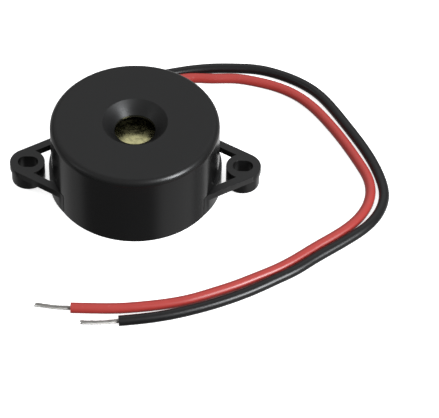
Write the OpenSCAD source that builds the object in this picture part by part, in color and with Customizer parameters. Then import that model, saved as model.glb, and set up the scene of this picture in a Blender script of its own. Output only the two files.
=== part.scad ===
// Round piezo buzzer: a black cap with a countersunk sound hole on a black base with two slotted ears.
// The brass diaphragm hangs under the cap's ledge, the drive circuit sits below it, and two wires leave at the back.
// The origin is the centre of the underside, +X runs through the ears and +Z is up.

/* [Housing] */
// Outside diameter of the round body
body_d = 24; // [19:0.5:32]
// Height of the body from the mounting face to the flat top
body_h = 12; // [9.5:0.5:16]
// Radius of the rounded rim at the top
rim_r = 1; // [0.3:0.1:1.5]
// Small bevel at the foot of the cap and of the bosses
foot_bevel = 0.12; // [0.05:0.01:0.2]
// Wall of the cap's skirt, around the base and the circuit board
skirt_t = 1.2; // [1:0.05:1.4]
// Wall of the cap above the circuit board
wall_t = 1.7; // [1.6:0.05:2.2]
// Thickness of the cap's top
top_t = 2; // [1.8:0.1:2.6]

/* [Sound hole] */
// Diameter of the hole through the top
hole_d = 5.8; // [3:0.1:8]
// Diameter of the countersink at the top face
sink_d = 9.3; // [8.2:0.1:12]
// Depth of the countersink
sink_depth = 1.6; // [0.8:0.1:1.7]

/* [Ears] */
// Distance between the centres of the two screw slots
ear_pitch = 30.7; // [29:0.1:42]
// Height of the ears' top face above the mounting face
ear_top = 3.5; // [3:0.1:4.2]
// Thickness of the ears' arms
arm_t = 1.05; // [0.8:0.05:1.5]
// Width of each arm
arm_w = 1.2; // [0.8:0.1:1.4]
// Angle from the ears' axis at which an arm meets the body
arm_angle = 30.7; // [24:0.1:33]
// Diameter of the bosses around the slots
boss_d = 4.8; // [4.4:0.1:6]
// Gap between a boss's underside and the mounting face
boss_lift = 0.2; // [0:0.1:0.5]
// How far the ears' arms lap round outside the bosses
boss_lap = 0.2; // [0.1:0.05:0.5]
// Width of a screw slot
slot_w = 2.1; // [1.6:0.1:2.6]
// Length of a screw slot from end to end
slot_l = 2.9; // [2.7:0.1:3.4]
// Half of the angle that an ear's curved pad spans
pad_angle = 34; // [33:0.5:40]
// How far a pad stands out of the body on the ears' axis
pad_proud = 0.35; // [0.1:0.05:0.6]

/* [Base] */
// Thickness of the base
base_t = 1.2; // [1:0.1:1.4]
// Height from the base up to the circuit board
post_h = 2.4; // [2.3:0.1:3]
// Diameter of the posts that carry the circuit board
post_d = 2; // [1.5:0.1:3]
// Clearance around the base, the pads and the board in the cap
fit_gap = 0.1; // [0.05:0.01:0.15]

/* [Diaphragm] */
// Width of the ledge that the diaphragm is glued to
ledge_w = 1.3; // [1:0.1:2]
// Height of the air space between the top and the ledge
ledge_h = 1.5; // [1:0.1:1.8]
// Clearance between the diaphragm's edge and the cap
disc_gap = 0.3; // [0.2:0.05:0.4]
// Thickness of the brass diaphragm
disc_t = 0.2; // [0.1:0.05:0.3]
// Width of bare brass around the ceramic
brass_rim = 3; // [2:0.1:3.5]
// Thickness of the piezo ceramic
ceramic_t = 0.22; // [0.1:0.02:0.4]
// Width of bare ceramic around its silver electrodes
ceramic_rim = 0.4; // [0.2:0.1:0.8]
// Thickness of the silver electrodes
silver_t = 0.04; // [0.02:0.01:0.06]
// Width of the feedback electrode's tongue
tongue_w = 2.6; // [2:0.1:3]
// Length of the feedback electrode's tongue
tongue_l = 3; // [2.4:0.1:3.4]
// Bare gap around the feedback electrode
tongue_gap = 0.4; // [0.2:0.1:0.6]
// Thickness of the silicone between the ledge and the diaphragm
bead_t = 0.15; // [0.1:0.05:0.3]

/* [Circuit] */
// Thickness of the circuit board
board_t = 0.8; // [0.6:0.1:1.2]
// Length of a chip resistor
chip_l = 2; // [1.6:0.1:2.4]
// Width of a chip resistor
chip_w = 1.25; // [0.8:0.05:1.4]
// Height of a chip resistor
chip_h = 0.5; // [0.3:0.05:0.7]
// Length of a chip resistor's end terminal
chip_end = 0.4; // [0.2:0.05:0.5]
// Length of the transistor's body
transistor_l = 2.9; // [2.6:0.1:3.2]
// Width of the transistor's body
transistor_w = 1.3; // [1.1:0.1:1.6]
// Height of the transistor's body
transistor_h = 0.95; // [0.8:0.05:1.1]
// Air gap under the transistor's body
transistor_lift = 0.1; // [0.05:0.05:0.2]
// Width of a transistor leg
leg_w = 0.4; // [0.3:0.05:0.5]
// Thickness of a transistor leg
leg_t = 0.13; // [0.1:0.01:0.2]
// Reach of a transistor leg beyond the body
leg_reach = 0.6; // [0.5:0.05:0.8]
// Outside diameter of the fine wires to the diaphragm
jumper_d = 0.6; // [0.4:0.05:0.8]
// Sideways slack of the fine wires
jumper_bow = 0.9; // [0.3:0.1:1.2]
// Diameter of the solder joints on the diaphragm and under the fine wires
dot_d = 1.4; // [1.2:0.1:1.6]
// Height of those solder joints
dot_h = 0.4; // [0.2:0.05:0.5]

/* [Leads] */
// Outside diameter of the two leads
lead_d = 1.5; // [1.1:0.1:1.7]
// Diameter of the leads' conductor
core_d = 0.6; // [0.4:0.05:0.7]
// Distance between the two leads where they leave the body
lead_pitch = 2; // [1.8:0.1:2.4]
// Clearance around a lead in its outlet
outlet_gap = 0.1; // [0.08:0.01:0.15]
// Height of a lead's underside above the base's inner face
lead_rise = 0.25; // [0.15:0.05:0.3]
// Length of stripped conductor inside the body, before it turns up
core_run = 2; // [1.2:0.1:2.5]
// Inside radius of the conductor's bend, at its centre line
core_bend = 0.6; // [0.4:0.1:0.8]
// How far the conductor stands out above the circuit board
core_stub = 0.75; // [0.6:0.05:1]
// Clearance around the conductor in the circuit board
core_gap = 0.15; // [0.05:0.05:0.3]
// Diameter of the solder joints of the leads
joint_d = 1.6; // [1.2:0.1:1.7]
// Height of the solder joints of the leads
joint_h = 0.6; // [0.4:0.05:0.6]

/* [Hidden] */

// Rounding of true curves, and the sides of the swept wires
$fn = 96;
wire_sides = 8;
// Overshoot of a cutting shape past the face that it cuts
over = 1;

// Radii of the housing
body_r = body_d / 2;
skirt_r = body_r - skirt_t;
bore_r = body_r - wall_t;
ledge_r = bore_r - ledge_w;
base_r = skirt_r - fit_gap;
board_r = skirt_r - fit_gap;

// Heights of the housing and of what it holds
board_z = base_t + post_h;
board_top = board_z + board_t;
ceiling_z = body_h - top_t;
ledge_z = ceiling_z - ledge_h;
disc_z = ledge_z - bead_t - disc_t;
ceramic_z = disc_z - ceramic_t;
silver_z = ceramic_z - silver_t;
lead_z = base_t + lead_rise + lead_d / 2;
outlet_r = lead_d / 2 + outlet_gap;

// Radii of the diaphragm
disc_r = bore_r - disc_gap;
ceramic_r = disc_r - brass_rim;
silver_r = ceramic_r - ceramic_rim;
tongue_y = -(silver_r - tongue_l);

// The pad's outer face is an arc from the body's own surface at both ends to pad_proud on the ears' axis
pad_edge = [body_r * cos(pad_angle), body_r * sin(pad_angle)];
pad_shift = (pow(body_r + pad_proud, 2) - pow(body_r, 2)) / (2 * (body_r + pad_proud - pad_edge[0]));
pad_arc_r = body_r + pad_proud - pad_shift;

// An arm's outer edge runs from its foot on the pad, tangent to the band around the boss
boss_x = ear_pitch / 2;
band_r = boss_d / 2 + boss_lap;
arm_foot = body_r * [cos(arm_angle), sin(arm_angle)];
arm_span = norm([boss_x, 0] - arm_foot);
arm_len = sqrt(arm_span * arm_span - band_r * band_r);
arm_turn = atan2(-arm_foot[1], boss_x - arm_foot[0]) + asin(band_r / arm_span);

// Places on the board and under the diaphragm
post_angles = [45, 135, 225, 315];
post_ring_r = board_r - 1.5;
brass_dot = (ceramic_r + brass_rim / 2) * [cos(-35), sin(-35)];
main_dot = (silver_r - 1.5) * [cos(-39), sin(-39)];
feedback_dot = [0, -(silver_r - 1.6)];
dot_shift = [-0.6, -0.3];
dot_tip_d = jumper_d + 0.15;
transistor_at = [3.2, 1];
leg_pitch = 1.9;
load_at = [-3.5, 3];
bias_at = [-3.5, 0.3];
feedback_at = [-3.5, -2.4];
resistor_places = [load_at, bias_at, feedback_at];

// Shape of the fine wires: steps along the bow, and the upright stub at each end
jumper_steps = 8;
jumper_stub = 0.15;

// Routes of the leads' centre lines, from inside the body to the stripped ends. Each point gives x, the distance
// behind the body, and the height as a share of the drop from the outlet to the floor.
red_path = [
    [lead_pitch / 2, -3, 1], [lead_pitch / 2, 0, 1], [lead_pitch / 2, 2, 0.9], [1.9, 5, 0.5],
    [4.2, 7.5, 0.15], [7.2, 8.7, 0], [10.6, 8.7, 0], [13.9, 8.8, 0], [17.2, 8.2, 0], [20.4, 7.1, 0],
    [23.2, 5.4, 0], [25.5, 3.1, 0], [27.5, 0.3, 0], [29.2, -2.5, 0], [30.8, -5.5, 0], [32.2, -8.4, 0],
    [33.4, -11.5, 0], [33.6, -14.9, 0], [32.6, -18, 0], [30.7, -20.7, 0], [28.2, -23, 0], [25.7, -25, 0],
    [23.1, -27.2, 0], [20.4, -29.2, 0], [17.5, -30.9, 0], [14.6, -32.5, 0], [11.6, -33.9, 0],
    [8.5, -35.2, 0], [5.3, -36.1, 0], [2, -36.7, 0], [-1.3, -37.1, 0], [-4.7, -37.2, 0], [-8, -37.2, 0]];
black_path = [
    [-lead_pitch / 2, -3, 1], [-lead_pitch / 2, 0, 1], [-lead_pitch / 2, 2.5, 0.9], [-0.4, 5.1, 0.6],
    [1.4, 7.9, 0.3], [4.3, 9.5, 0.05], [7.5, 10.4, 0], [10.8, 10.9, 0], [14.1, 11, 0], [17.4, 10.8, 0],
    [20.6, 9.8, 0], [23.6, 8.2, 0], [26.1, 6.1, 0], [28.1, 3.4, 0], [29.8, 0.5, 0], [31.4, -2.4, 0],
    [32.9, -5.3, 0], [34.2, -8.3, 0], [35.2, -11.5, 0], [35.6, -14.8, 0], [34.8, -18, 0], [33, -20.8, 0],
    [30.7, -23, 0], [28, -25.2, 0], [25.5, -27.2, 0], [22.9, -29.4, 0], [20.2, -31.2, 0], [17.4, -33, 0],
    [14.5, -34.6, 0], [11.5, -36, 0], [8.4, -37.2, 0], [5.2, -38.2, 0], [2, -38.9, 0], [-1.3, -39.4, 0]];
// The stripped outer ends go on from the leads' last points
red_tip_path = [[-8, -37.2, 0], [-9.5, -37.2, 0], [-11.2, -37, 0], [-13, -36.7, 0]];
black_tip_path = [[-1.3, -39.4, 0], [-3.2, -39.7, 0], [-4.8, -39.8, 0], [-6.6, -39.8, 0]];
// The stripped inner ends turn up through the board here
core_from = body_r + red_path[0][1];
core_y = core_from - core_run;

// A path set in its place behind the body
function placed(path) =
    [for (p = path) [p[0], body_r + p[1], lead_d / 2 + p[2] * (lead_z - lead_d / 2)]];

// Unit vector, and the direction of a route at point i
function unit(v) = v / norm(v);
function heading(route, i) = unit(route[min(i + 1, len(route) - 1)] - route[max(i - 1, 0)]);

// One ring of a swept wire: its flats touch the true round, and one flat faces against up_hint
function ring(at, along, d, up_hint) =
    let (side = unit(cross(along, up_hint)), up = cross(side, along), r = d / 2 / cos(180 / wire_sides))
    [for (k = [0 : wire_sides - 1])
        let (a = 360 * (k + 0.5) / wire_sides) at + r * (cos(a) * side + sin(a) * up)];

// Route of a fine wire: upright at both ends, with a sideways bow between them
function jumper_route(from, to, bow_way) =
    concat([from],
        [for (i = [0 : jumper_steps])
            let (t = i / jumper_steps, ease = t * t * (3 - 2 * t), bow = jumper_bow * (1 - cos(360 * t)) / 2,
                low = from + [0, 0, jumper_stub], high = to - [0, 0, jumper_stub])
            [low[0] + (high[0] - low[0]) * ease + bow * bow_way[0],
                low[1] + (high[1] - low[1]) * ease + bow * bow_way[1],
                low[2] + (high[2] - low[2]) * t]],
        [to]);

// A closed wire of diameter d swept along a route
module wire(route, d, up_hint = [0, 0, 1]) {
    rings = len(route);
    points = [for (i = [0 : rings - 1]) each ring(route[i], heading(route, i), d, up_hint)];
    walls = [for (i = [0 : rings - 2], k = [0 : wire_sides - 1])
        let (a = i * wire_sides, n = (k + 1) % wire_sides)
        each [[a + k, a + n, a + wire_sides + k], [a + n, a + wire_sides + n, a + wire_sides + k]]];
    start = [for (k = [wire_sides - 1 : -1 : 0]) k];
    end = [for (k = [0 : wire_sides - 1]) (rings - 1) * wire_sides + k];
    polyhedron(points, concat([start], walls, [end]));
}

// A flat wedge from the origin, half_angle to each side of +X
module wedge(half_angle) {
    reach = ear_pitch + boss_d;
    polygon([[0, 0], reach * [cos(half_angle), -sin(half_angle)], reach * [cos(half_angle), sin(half_angle)]]);
}

// Cap

module cap_outline() {
    difference() {
        union() {
            square([body_r - rim_r, body_h]);
            square([body_r, body_h - rim_r]);
            translate([body_r - rim_r, body_h - rim_r])
                circle(rim_r);
        }
        polygon([[body_r - foot_bevel, 0], [body_r + over, -over], [body_r + over, over], [body_r, foot_bevel]]);
    }
}

module cap_hollow() {
    polygon([
        [0, -over], [skirt_r, -over], [skirt_r, board_top], [bore_r, board_top], [bore_r, ledge_z],
        [ledge_r, ledge_z], [ledge_r, ceiling_z], [hole_d / 2, ceiling_z], [hole_d / 2, body_h - sink_depth],
        [sink_d / 2, body_h], [sink_d / 2, body_h + over], [0, body_h + over]]);
}

// The notch in the skirt that an ear's pad fills
module ear_notch() {
    notch_angle = pad_angle + fit_gap / body_r * 180 / PI;
    rotate([0, 0, -notch_angle])
        rotate_extrude(angle = 2 * notch_angle)
            translate([skirt_r - over, -over])
                square([skirt_t + 2 * over, over + ear_top + fit_gap]);
}

// The opening at the back that the two leads leave by, open down to the mounting face
module lead_outlet() {
    depth = skirt_t + 2 * over;
    translate([0, skirt_r - over, 0]) {
        for (side = [-1, 1])
            translate([side * lead_pitch / 2, 0, lead_z])
                rotate([-90, 0, 0])
                    cylinder(r = outlet_r, h = depth);
        translate([-lead_pitch / 2, 0, lead_z])
            cube([lead_pitch, depth, outlet_r]);
        translate([-lead_pitch / 2 - outlet_r, 0, -over])
            cube([lead_pitch + 2 * outlet_r, depth, over + lead_z]);
    }
}

module cap() {
    color([0.2, 0.2, 0.2])
        difference() {
            rotate_extrude()
                difference() {
                    cap_outline();
                    cap_hollow();
                }
            for (turn = [0, 180])
                rotate([0, 0, turn])
                    ear_notch();
            lead_outlet();
        }
}

// Base

// An ear's pad, which fills the notch in the skirt and stands a little proud of the body
module ear_pad() {
    difference() {
        intersection() {
            translate([pad_shift, 0, 0]) {
                cylinder(r1 = pad_arc_r - foot_bevel, r2 = pad_arc_r, h = foot_bevel);
                translate([0, 0, foot_bevel])
                    cylinder(r = pad_arc_r, h = ear_top - foot_bevel);
            }
            linear_extrude(ear_top)
                wedge(pad_angle);
        }
        translate([0, 0, base_t])
            cylinder(r = skirt_r, h = ear_top);
    }
}

// The outline of an ear's two arms and of the band that laps round its boss
module ear_arms_outline() {
    intersection() {
        wedge(pad_angle);
        difference() {
            union() {
                for (side = [0, 1])
                    mirror([0, side])
                        translate(arm_foot)
                            rotate(arm_turn)
                                translate([-arm_w, -arm_w])
                                    square([arm_len + arm_w, arm_w]);
                translate([boss_x, 0])
                    intersection() {
                        circle(band_r);
                        wedge(90 + arm_turn);
                    }
            }
            circle(skirt_r);
        }
    }
}

module boss() {
    translate([boss_x, 0, boss_lift]) {
        cylinder(d1 = boss_d - 2 * foot_bevel, d2 = boss_d, h = foot_bevel);
        translate([0, 0, foot_bevel])
            cylinder(d = boss_d, h = ear_top - boss_lift - foot_bevel);
    }
}

module screw_slot() {
    run = slot_l - slot_w;
    translate([boss_x, 0, -over])
        linear_extrude(ear_top + 2 * over) {
            for (side = [-1, 1])
                translate([side * run / 2, 0])
                    circle(d = slot_w);
            translate([-run / 2, -slot_w / 2])
                square([run, slot_w]);
        }
}

module ear() {
    difference() {
        union() {
            ear_pad();
            translate([0, 0, ear_top - arm_t])
                linear_extrude(arm_t)
                    ear_arms_outline();
            boss();
        }
        screw_slot();
    }
}

// The tongue that closes the foot of the outlet, with a saddle for each lead
module outlet_tongue() {
    half_w = lead_pitch / 2 + outlet_r - fit_gap;
    difference() {
        intersection() {
            translate([-half_w, bore_r, 0])
                cube([2 * half_w, body_r, lead_z]);
            cylinder(r = body_r - foot_bevel / 2, h = lead_z);
        }
        for (side = [-1, 1])
            translate([side * lead_pitch / 2, bore_r - over, lead_z])
                rotate([-90, 0, 0])
                    cylinder(r = outlet_r, h = body_r);
    }
}

module base() {
    color([0.18, 0.18, 0.18]) {
        cylinder(r = base_r, h = base_t);
        for (turn = [0, 180])
            rotate([0, 0, turn])
                ear();
        for (turn = post_angles)
            rotate([0, 0, turn])
                translate([post_ring_r, 0, base_t - foot_bevel])
                    cylinder(d = post_d, h = post_h + foot_bevel);
        outlet_tongue();
    }
}

// Diaphragm

module diaphragm() {
    color([0.78, 0.68, 0.32])
        translate([0, 0, disc_z])
            cylinder(r = disc_r, h = disc_t);
}

module piezo_disc() {
    color([0.85, 0.82, 0.72])
        translate([0, 0, ceramic_z])
            cylinder(r = ceramic_r, h = ceramic_t);
}

// Outline of the feedback electrode's tongue, grown by a bare gap
module tongue_outline(grow) {
    half_w = tongue_w / 2 + grow;
    translate([0, tongue_y])
        circle(half_w);
    translate([-half_w, -silver_r - over])
        square([2 * half_w, silver_r + over + tongue_y]);
}

module main_electrode() {
    color([0.82, 0.82, 0.8])
        translate([0, 0, silver_z])
            linear_extrude(silver_t)
                difference() {
                    circle(silver_r);
                    tongue_outline(tongue_gap);
                }
}

module feedback_electrode() {
    color([0.82, 0.82, 0.8])
        translate([0, 0, silver_z])
            linear_extrude(silver_t)
                intersection() {
                    circle(silver_r);
                    tongue_outline(0);
                }
}

// The bead fills the step between the ledge and the disc, and wraps the disc's edge
module silicone_bead() {
    inner_r = ledge_r + disc_gap / 3;
    color([0.85, 0.85, 0.82])
        rotate_extrude()
            polygon([
                [inner_r, ledge_z], [bore_r, ledge_z], [bore_r, disc_z - disc_gap], [disc_r, disc_z],
                [disc_r, disc_z + disc_t], [inner_r, disc_z + disc_t]]);
}

// Circuit

module circuit_board() {
    color([0.55, 0.4, 0.2])
        difference() {
            translate([0, 0, board_z])
                cylinder(r = board_r, h = board_t);
            for (side = [-1, 1])
                translate([side * lead_pitch / 2, core_y, board_z - over])
                    cylinder(d = core_d + 2 * core_gap, h = board_t + 2 * over);
        }
}

module transistor() {
    shoulder = transistor_w / 2 - leg_t;
    waist_low = transistor_h / 2 - leg_t;
    waist_high = transistor_h / 2 + leg_t;
    color([0.15, 0.15, 0.15])
        translate([transistor_at[0] + transistor_l / 2, transistor_at[1], board_top + transistor_lift])
            rotate([90, 0, -90])
                linear_extrude(transistor_l)
                    polygon([
                        [-shoulder, 0], [shoulder, 0], [transistor_w / 2, waist_low],
                        [transistor_w / 2, waist_high], [shoulder, transistor_h], [-shoulder, transistor_h],
                        [-transistor_w / 2, waist_high], [-transistor_w / 2, waist_low]]);
}

// One gull-wing leg on the +Y side of the transistor
module leg() {
    mid = transistor_lift + transistor_h / 2;
    knee = leg_reach / 3;
    translate([-leg_w / 2, transistor_w / 2, board_top])
        rotate([90, 0, 90])
            linear_extrude(leg_w)
                polygon([
                    [0, mid - leg_t / 2], [knee, mid - leg_t / 2], [knee, 0], [leg_reach, 0], [leg_reach, leg_t],
                    [knee + leg_t, leg_t], [knee + leg_t, mid + leg_t / 2], [0, mid + leg_t / 2]]);
}

module transistor_legs() {
    color([0.75, 0.75, 0.75])
        translate(transistor_at) {
            leg();
            for (side = [-1, 1])
                translate([side * leg_pitch / 2, 0])
                    mirror([0, 1, 0])
                        leg();
        }
}

module chip_body(at) {
    color([0.12, 0.12, 0.14])
        translate([at[0] - chip_l / 2 + chip_end, at[1] - chip_w / 2, board_top])
            cube([chip_l - 2 * chip_end, chip_w, chip_h]);
}

module load_resistor() {
    chip_body(load_at);
}

module bias_resistor() {
    chip_body(bias_at);
}

module feedback_resistor() {
    chip_body(feedback_at);
}

module resistor_terminals() {
    color([0.75, 0.75, 0.75])
        for (at = resistor_places, side = [0, chip_l - chip_end])
            translate([at[0] - chip_l / 2 + side, at[1] - chip_w / 2, board_top])
                cube([chip_end, chip_w, chip_h]);
}

// A solder joint that stands on the board
module board_dot(at) {
    translate([at[0], at[1], board_top])
        cylinder(d1 = dot_d, d2 = dot_tip_d, h = dot_h);
}

// A solder joint that hangs under a face of the diaphragm
module disc_dot(at, face_z) {
    color([0.72, 0.72, 0.72])
        translate([at[0], at[1], face_z - dot_h])
            cylinder(d1 = dot_tip_d, d2 = dot_d, h = dot_h);
}

module jumper(at, face_z, bow_way, shade) {
    foot = at + dot_shift;
    color(shade)
        wire(jumper_route([foot[0], foot[1], board_top + dot_h], [at[0], at[1], face_z - dot_h], bow_way),
            jumper_d, [0, 1, 0]);
}

module brass_jumper() {
    jumper(brass_dot, disc_z, [0.8, -0.6], [0.1, 0.1, 0.1]);
}

module main_jumper() {
    jumper(main_dot, silver_z, [0.6, -0.8], [0.75, 0.12, 0.1]);
}

module feedback_jumper() {
    jumper(feedback_dot, silver_z, [-1, 0], [0.15, 0.25, 0.7]);
}

module brass_joint() {
    disc_dot(brass_dot, disc_z);
}

module main_joint() {
    disc_dot(main_dot, silver_z);
}

module feedback_joint() {
    disc_dot(feedback_dot, silver_z);
}

module jumper_joints() {
    color([0.72, 0.72, 0.72])
        for (at = [brass_dot, main_dot, feedback_dot])
            board_dot(at + dot_shift);
}

// Leads

// The stripped inner end of a lead: along from the insulation, then up through the board
module core(side) {
    color([0.78, 0.76, 0.72])
        translate([side * lead_pitch / 2, 0, 0]) {
            translate([0, core_y + core_bend, lead_z])
                rotate([-90, 0, 0])
                    cylinder(d = core_d, h = core_run - core_bend);
            translate([0, core_y + core_bend, lead_z + core_bend])
                rotate([90, 0, 90])
                    rotate([0, 0, 180])
                        rotate_extrude(angle = 90)
                            translate([core_bend, 0])
                                circle(d = core_d);
            translate([0, core_y, lead_z + core_bend])
                cylinder(d = core_d, h = board_top + core_stub - lead_z - core_bend);
        }
}

module core_joint(side) {
    color([0.72, 0.72, 0.72])
        translate([side * lead_pitch / 2, core_y, board_top])
            difference() {
                cylinder(d1 = joint_d, d2 = core_d + 2 * core_gap, h = joint_h);
                translate([0, 0, -over])
                    cylinder(d = core_d, h = joint_h + 2 * over);
            }
}

module red_core() {
    core(1);
}

module black_core() {
    core(-1);
}

module red_joint() {
    core_joint(1);
}

module black_joint() {
    core_joint(-1);
}

module red_lead() {
    color([0.82, 0.13, 0.11])
        wire(placed(red_path), lead_d);
}

module black_lead() {
    color([0.1, 0.1, 0.1])
        wire(placed(black_path), lead_d);
}

module red_tip() {
    color([0.78, 0.76, 0.72])
        wire(placed(red_tip_path), core_d);
}

module black_tip() {
    color([0.78, 0.76, 0.72])
        wire(placed(black_tip_path), core_d);
}

cap();
base();
diaphragm();
piezo_disc();
main_electrode();
feedback_electrode();
silicone_bead();
circuit_board();
transistor();
transistor_legs();
load_resistor();
bias_resistor();
feedback_resistor();
resistor_terminals();
brass_jumper();
main_jumper();
feedback_jumper();
brass_joint();
main_joint();
feedback_joint();
jumper_joints();
red_core();
black_core();
red_joint();
black_joint();
red_lead();
black_lead();
red_tip();
black_tip();
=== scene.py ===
"""Piezo buzzer: the visible surfaces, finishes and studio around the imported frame."""

import math

import bmesh
import bpy
import numpy as np
from bpy.props import FloatProperty, FloatVectorProperty, IntProperty, PointerProperty
from mathutils import Matrix, Vector


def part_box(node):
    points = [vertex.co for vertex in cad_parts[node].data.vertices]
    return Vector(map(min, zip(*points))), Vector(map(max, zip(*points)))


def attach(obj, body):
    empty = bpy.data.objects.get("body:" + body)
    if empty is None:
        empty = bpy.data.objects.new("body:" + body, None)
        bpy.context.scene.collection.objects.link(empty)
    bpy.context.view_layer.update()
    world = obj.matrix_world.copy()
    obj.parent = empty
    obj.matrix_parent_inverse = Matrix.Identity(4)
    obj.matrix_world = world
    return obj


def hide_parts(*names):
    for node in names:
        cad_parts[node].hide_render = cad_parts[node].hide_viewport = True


bl_info = {
    "name": "Piezo buzzer",
    "version": (1, 0, 0),
    "blender": (4, 5, 0),
    "location": "View3D > Sidebar > Buzzer",
    "description": "Builds the visible surfaces of a round piezo buzzer with two wire leads",
    "category": "Object",
}

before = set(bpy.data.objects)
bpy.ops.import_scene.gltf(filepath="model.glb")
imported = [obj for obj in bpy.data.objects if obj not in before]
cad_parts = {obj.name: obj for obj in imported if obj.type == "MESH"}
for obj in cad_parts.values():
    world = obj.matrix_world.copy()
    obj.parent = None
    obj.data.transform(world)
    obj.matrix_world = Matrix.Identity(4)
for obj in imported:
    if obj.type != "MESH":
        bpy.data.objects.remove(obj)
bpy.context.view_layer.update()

MM = 0.001
BODY = "root"

# Making of the meshes, lengths in millimetres and angles in degrees
MERGE_DISTANCE = 0.0001
STRAND_MERGE_DISTANCE = 0.000001
BASE_MERGE_DISTANCE = 0.05
FLAT_ANGLE = 0.6
BASE_BEVEL = 0.07
BASE_BEVEL_STEPS = 3
BASE_BEVEL_ANGLE = 35
LEAD_STEP = 0.5
LEAD_SIDES = 28
TIP_STEP = 0.12
STRAND_SIDES = 10
CUTTER_MARGIN = 1
NOTCH_STEPS = 24
OUTLET_STEPS = 12

# The stage, in metres
FLOOR_HALF = 1.5
FLOOR_DROP = 0.00002
LAMP_COLOUR = (0.95, 0.975, 1.0)


def highest_corner(name):
    """Highest corner of a frame node, in millimetres."""
    return np.array(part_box(name)[1]) / MM


CAP_HIGH = highest_corner("cap")
BOARD_HIGH = highest_corner("circuit_board")
BEAD_HIGH = highest_corner("silicone_bead")


# Settings


class HousingSizes(bpy.types.PropertyGroup):
    """Sizes of the cap, in millimetres."""

    body_radius: FloatProperty(
        name="Body radius", description="Radius of the round wall", default=float(CAP_HIGH[0]), min=1
    )
    body_height: FloatProperty(
        name="Body height", description="Height of the flat top", default=float(CAP_HIGH[2]), min=1
    )
    rim_radius: FloatProperty(name="Rim radius", description="Rounding of the top rim", default=1.0, min=0.05)
    foot_bevel: FloatProperty(
        name="Foot bevel", description="Bevel at the wall's foot", default=0.12, min=0.01
    )
    skirt_wall: FloatProperty(name="Skirt wall", description="Wall around the board", default=1.2, min=0.1)
    upper_wall: FloatProperty(name="Upper wall", description="Wall above the board", default=1.7, min=0.1)
    top_wall: FloatProperty(name="Top wall", description="Thickness of the top", default=2.0, min=0.1)
    ledge_width: FloatProperty(
        name="Ledge width", description="Width of the diaphragm's ledge", default=1.3, min=0.1
    )
    hole_radius: FloatProperty(
        name="Hole radius", description="Radius of the sound hole", default=2.9, min=0.1
    )
    sink_radius: FloatProperty(
        name="Countersink radius", description="Radius of the countersink at the top", default=4.65, min=0.1
    )
    sink_depth: FloatProperty(
        name="Countersink depth", description="Depth of the countersink", default=1.6, min=0.1
    )
    edge_radius: FloatProperty(
        name="Edge radius", description="Small rounding that moulding leaves on edges", default=0.1, min=0.01
    )
    ear_top: FloatProperty(name="Ear top", description="Height of the ears' top face", default=3.5, min=0.1)
    pad_angle: FloatProperty(
        name="Pad angle", description="Half of the angle of an ear's pad", default=math.radians(34),
        subtype="ANGLE",
    )
    fit_gap: FloatProperty(
        name="Fit gap", description="Clearance between cap and base", default=0.1, min=0.01
    )
    segments: IntProperty(name="Segments", description="Steps around the round body", default=192, min=24)


class LeadSizes(bpy.types.PropertyGroup):
    """Sizes of the two wire leads, in millimetres."""

    lead_diameter: FloatProperty(
        name="Lead diameter", description="Outside diameter of the insulation", default=1.5, min=0.1
    )
    core_diameter: FloatProperty(
        name="Conductor diameter", description="Diameter of the twisted strands together",
        default=0.6, min=0.05,
    )
    pitch: FloatProperty(name="Lead pitch", description="Distance between the leads", default=2.0, min=0.1)
    outlet_height: FloatProperty(
        name="Outlet height", description="Height of the leads at the outlet", default=2.2, min=0.1
    )
    outlet_gap: FloatProperty(name="Outlet gap", description="Clearance around a lead", default=0.1, min=0.01)
    end_rounding: FloatProperty(
        name="End rounding", description="Rounding of the insulation's cut edge", default=0.12, min=0.01
    )
    strands: IntProperty(name="Strands", description="Outer strands of a conductor", default=6, min=1)
    lay_length: FloatProperty(
        name="Lay length", description="Length of one turn of the strands", default=2.4, min=0.5
    )


class Finishes(bpy.types.PropertyGroup):
    """Base colours of the finishes."""

    plastic: FloatVectorProperty(
        name="Plastic", description="Black moulded plastic", subtype="COLOR", default=(0.0052, 0.0052, 0.0053)
    )
    brass: FloatVectorProperty(
        name="Brass", description="Diaphragm sheet", subtype="COLOR", default=(0.8, 0.76, 0.4)
    )
    red: FloatVectorProperty(
        name="Red insulation", description="Red vinyl", subtype="COLOR", default=(0.36, 0.036, 0.03)
    )
    black: FloatVectorProperty(
        name="Black insulation", description="Black vinyl", subtype="COLOR", default=(0.0045, 0.0045, 0.005)
    )
    blue: FloatVectorProperty(
        name="Blue insulation", description="Blue vinyl", subtype="COLOR", default=(0.02, 0.07, 0.38)
    )
    tin: FloatVectorProperty(
        name="Tin", description="Tinned copper", subtype="COLOR", default=(0.62, 0.6, 0.57)
    )


class StageSettings(bpy.types.PropertyGroup):
    """Settings of the camera."""

    aim: FloatVectorProperty(
        name="Aim", description="Point that the camera looks at", subtype="TRANSLATION",
        default=(0.01214, -0.00525, 0.0),
    )
    distance: FloatProperty(
        name="Distance", description="From the camera to the aim point", default=0.3964, unit="LENGTH"
    )
    azimuth: FloatProperty(
        name="Azimuth", description="Camera's turn around the object", default=math.radians(0.187),
        subtype="ANGLE",
    )
    elevation: FloatProperty(
        name="Elevation", description="Camera's height angle", default=math.radians(46.57), subtype="ANGLE"
    )
    roll: FloatProperty(
        name="Roll", description="Camera's turn about its own axis", default=math.radians(1.019),
        subtype="ANGLE",
    )
    lens: FloatProperty(name="Lens", description="Focal length in millimetres", default=228.2, min=1)


# Node trees


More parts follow.
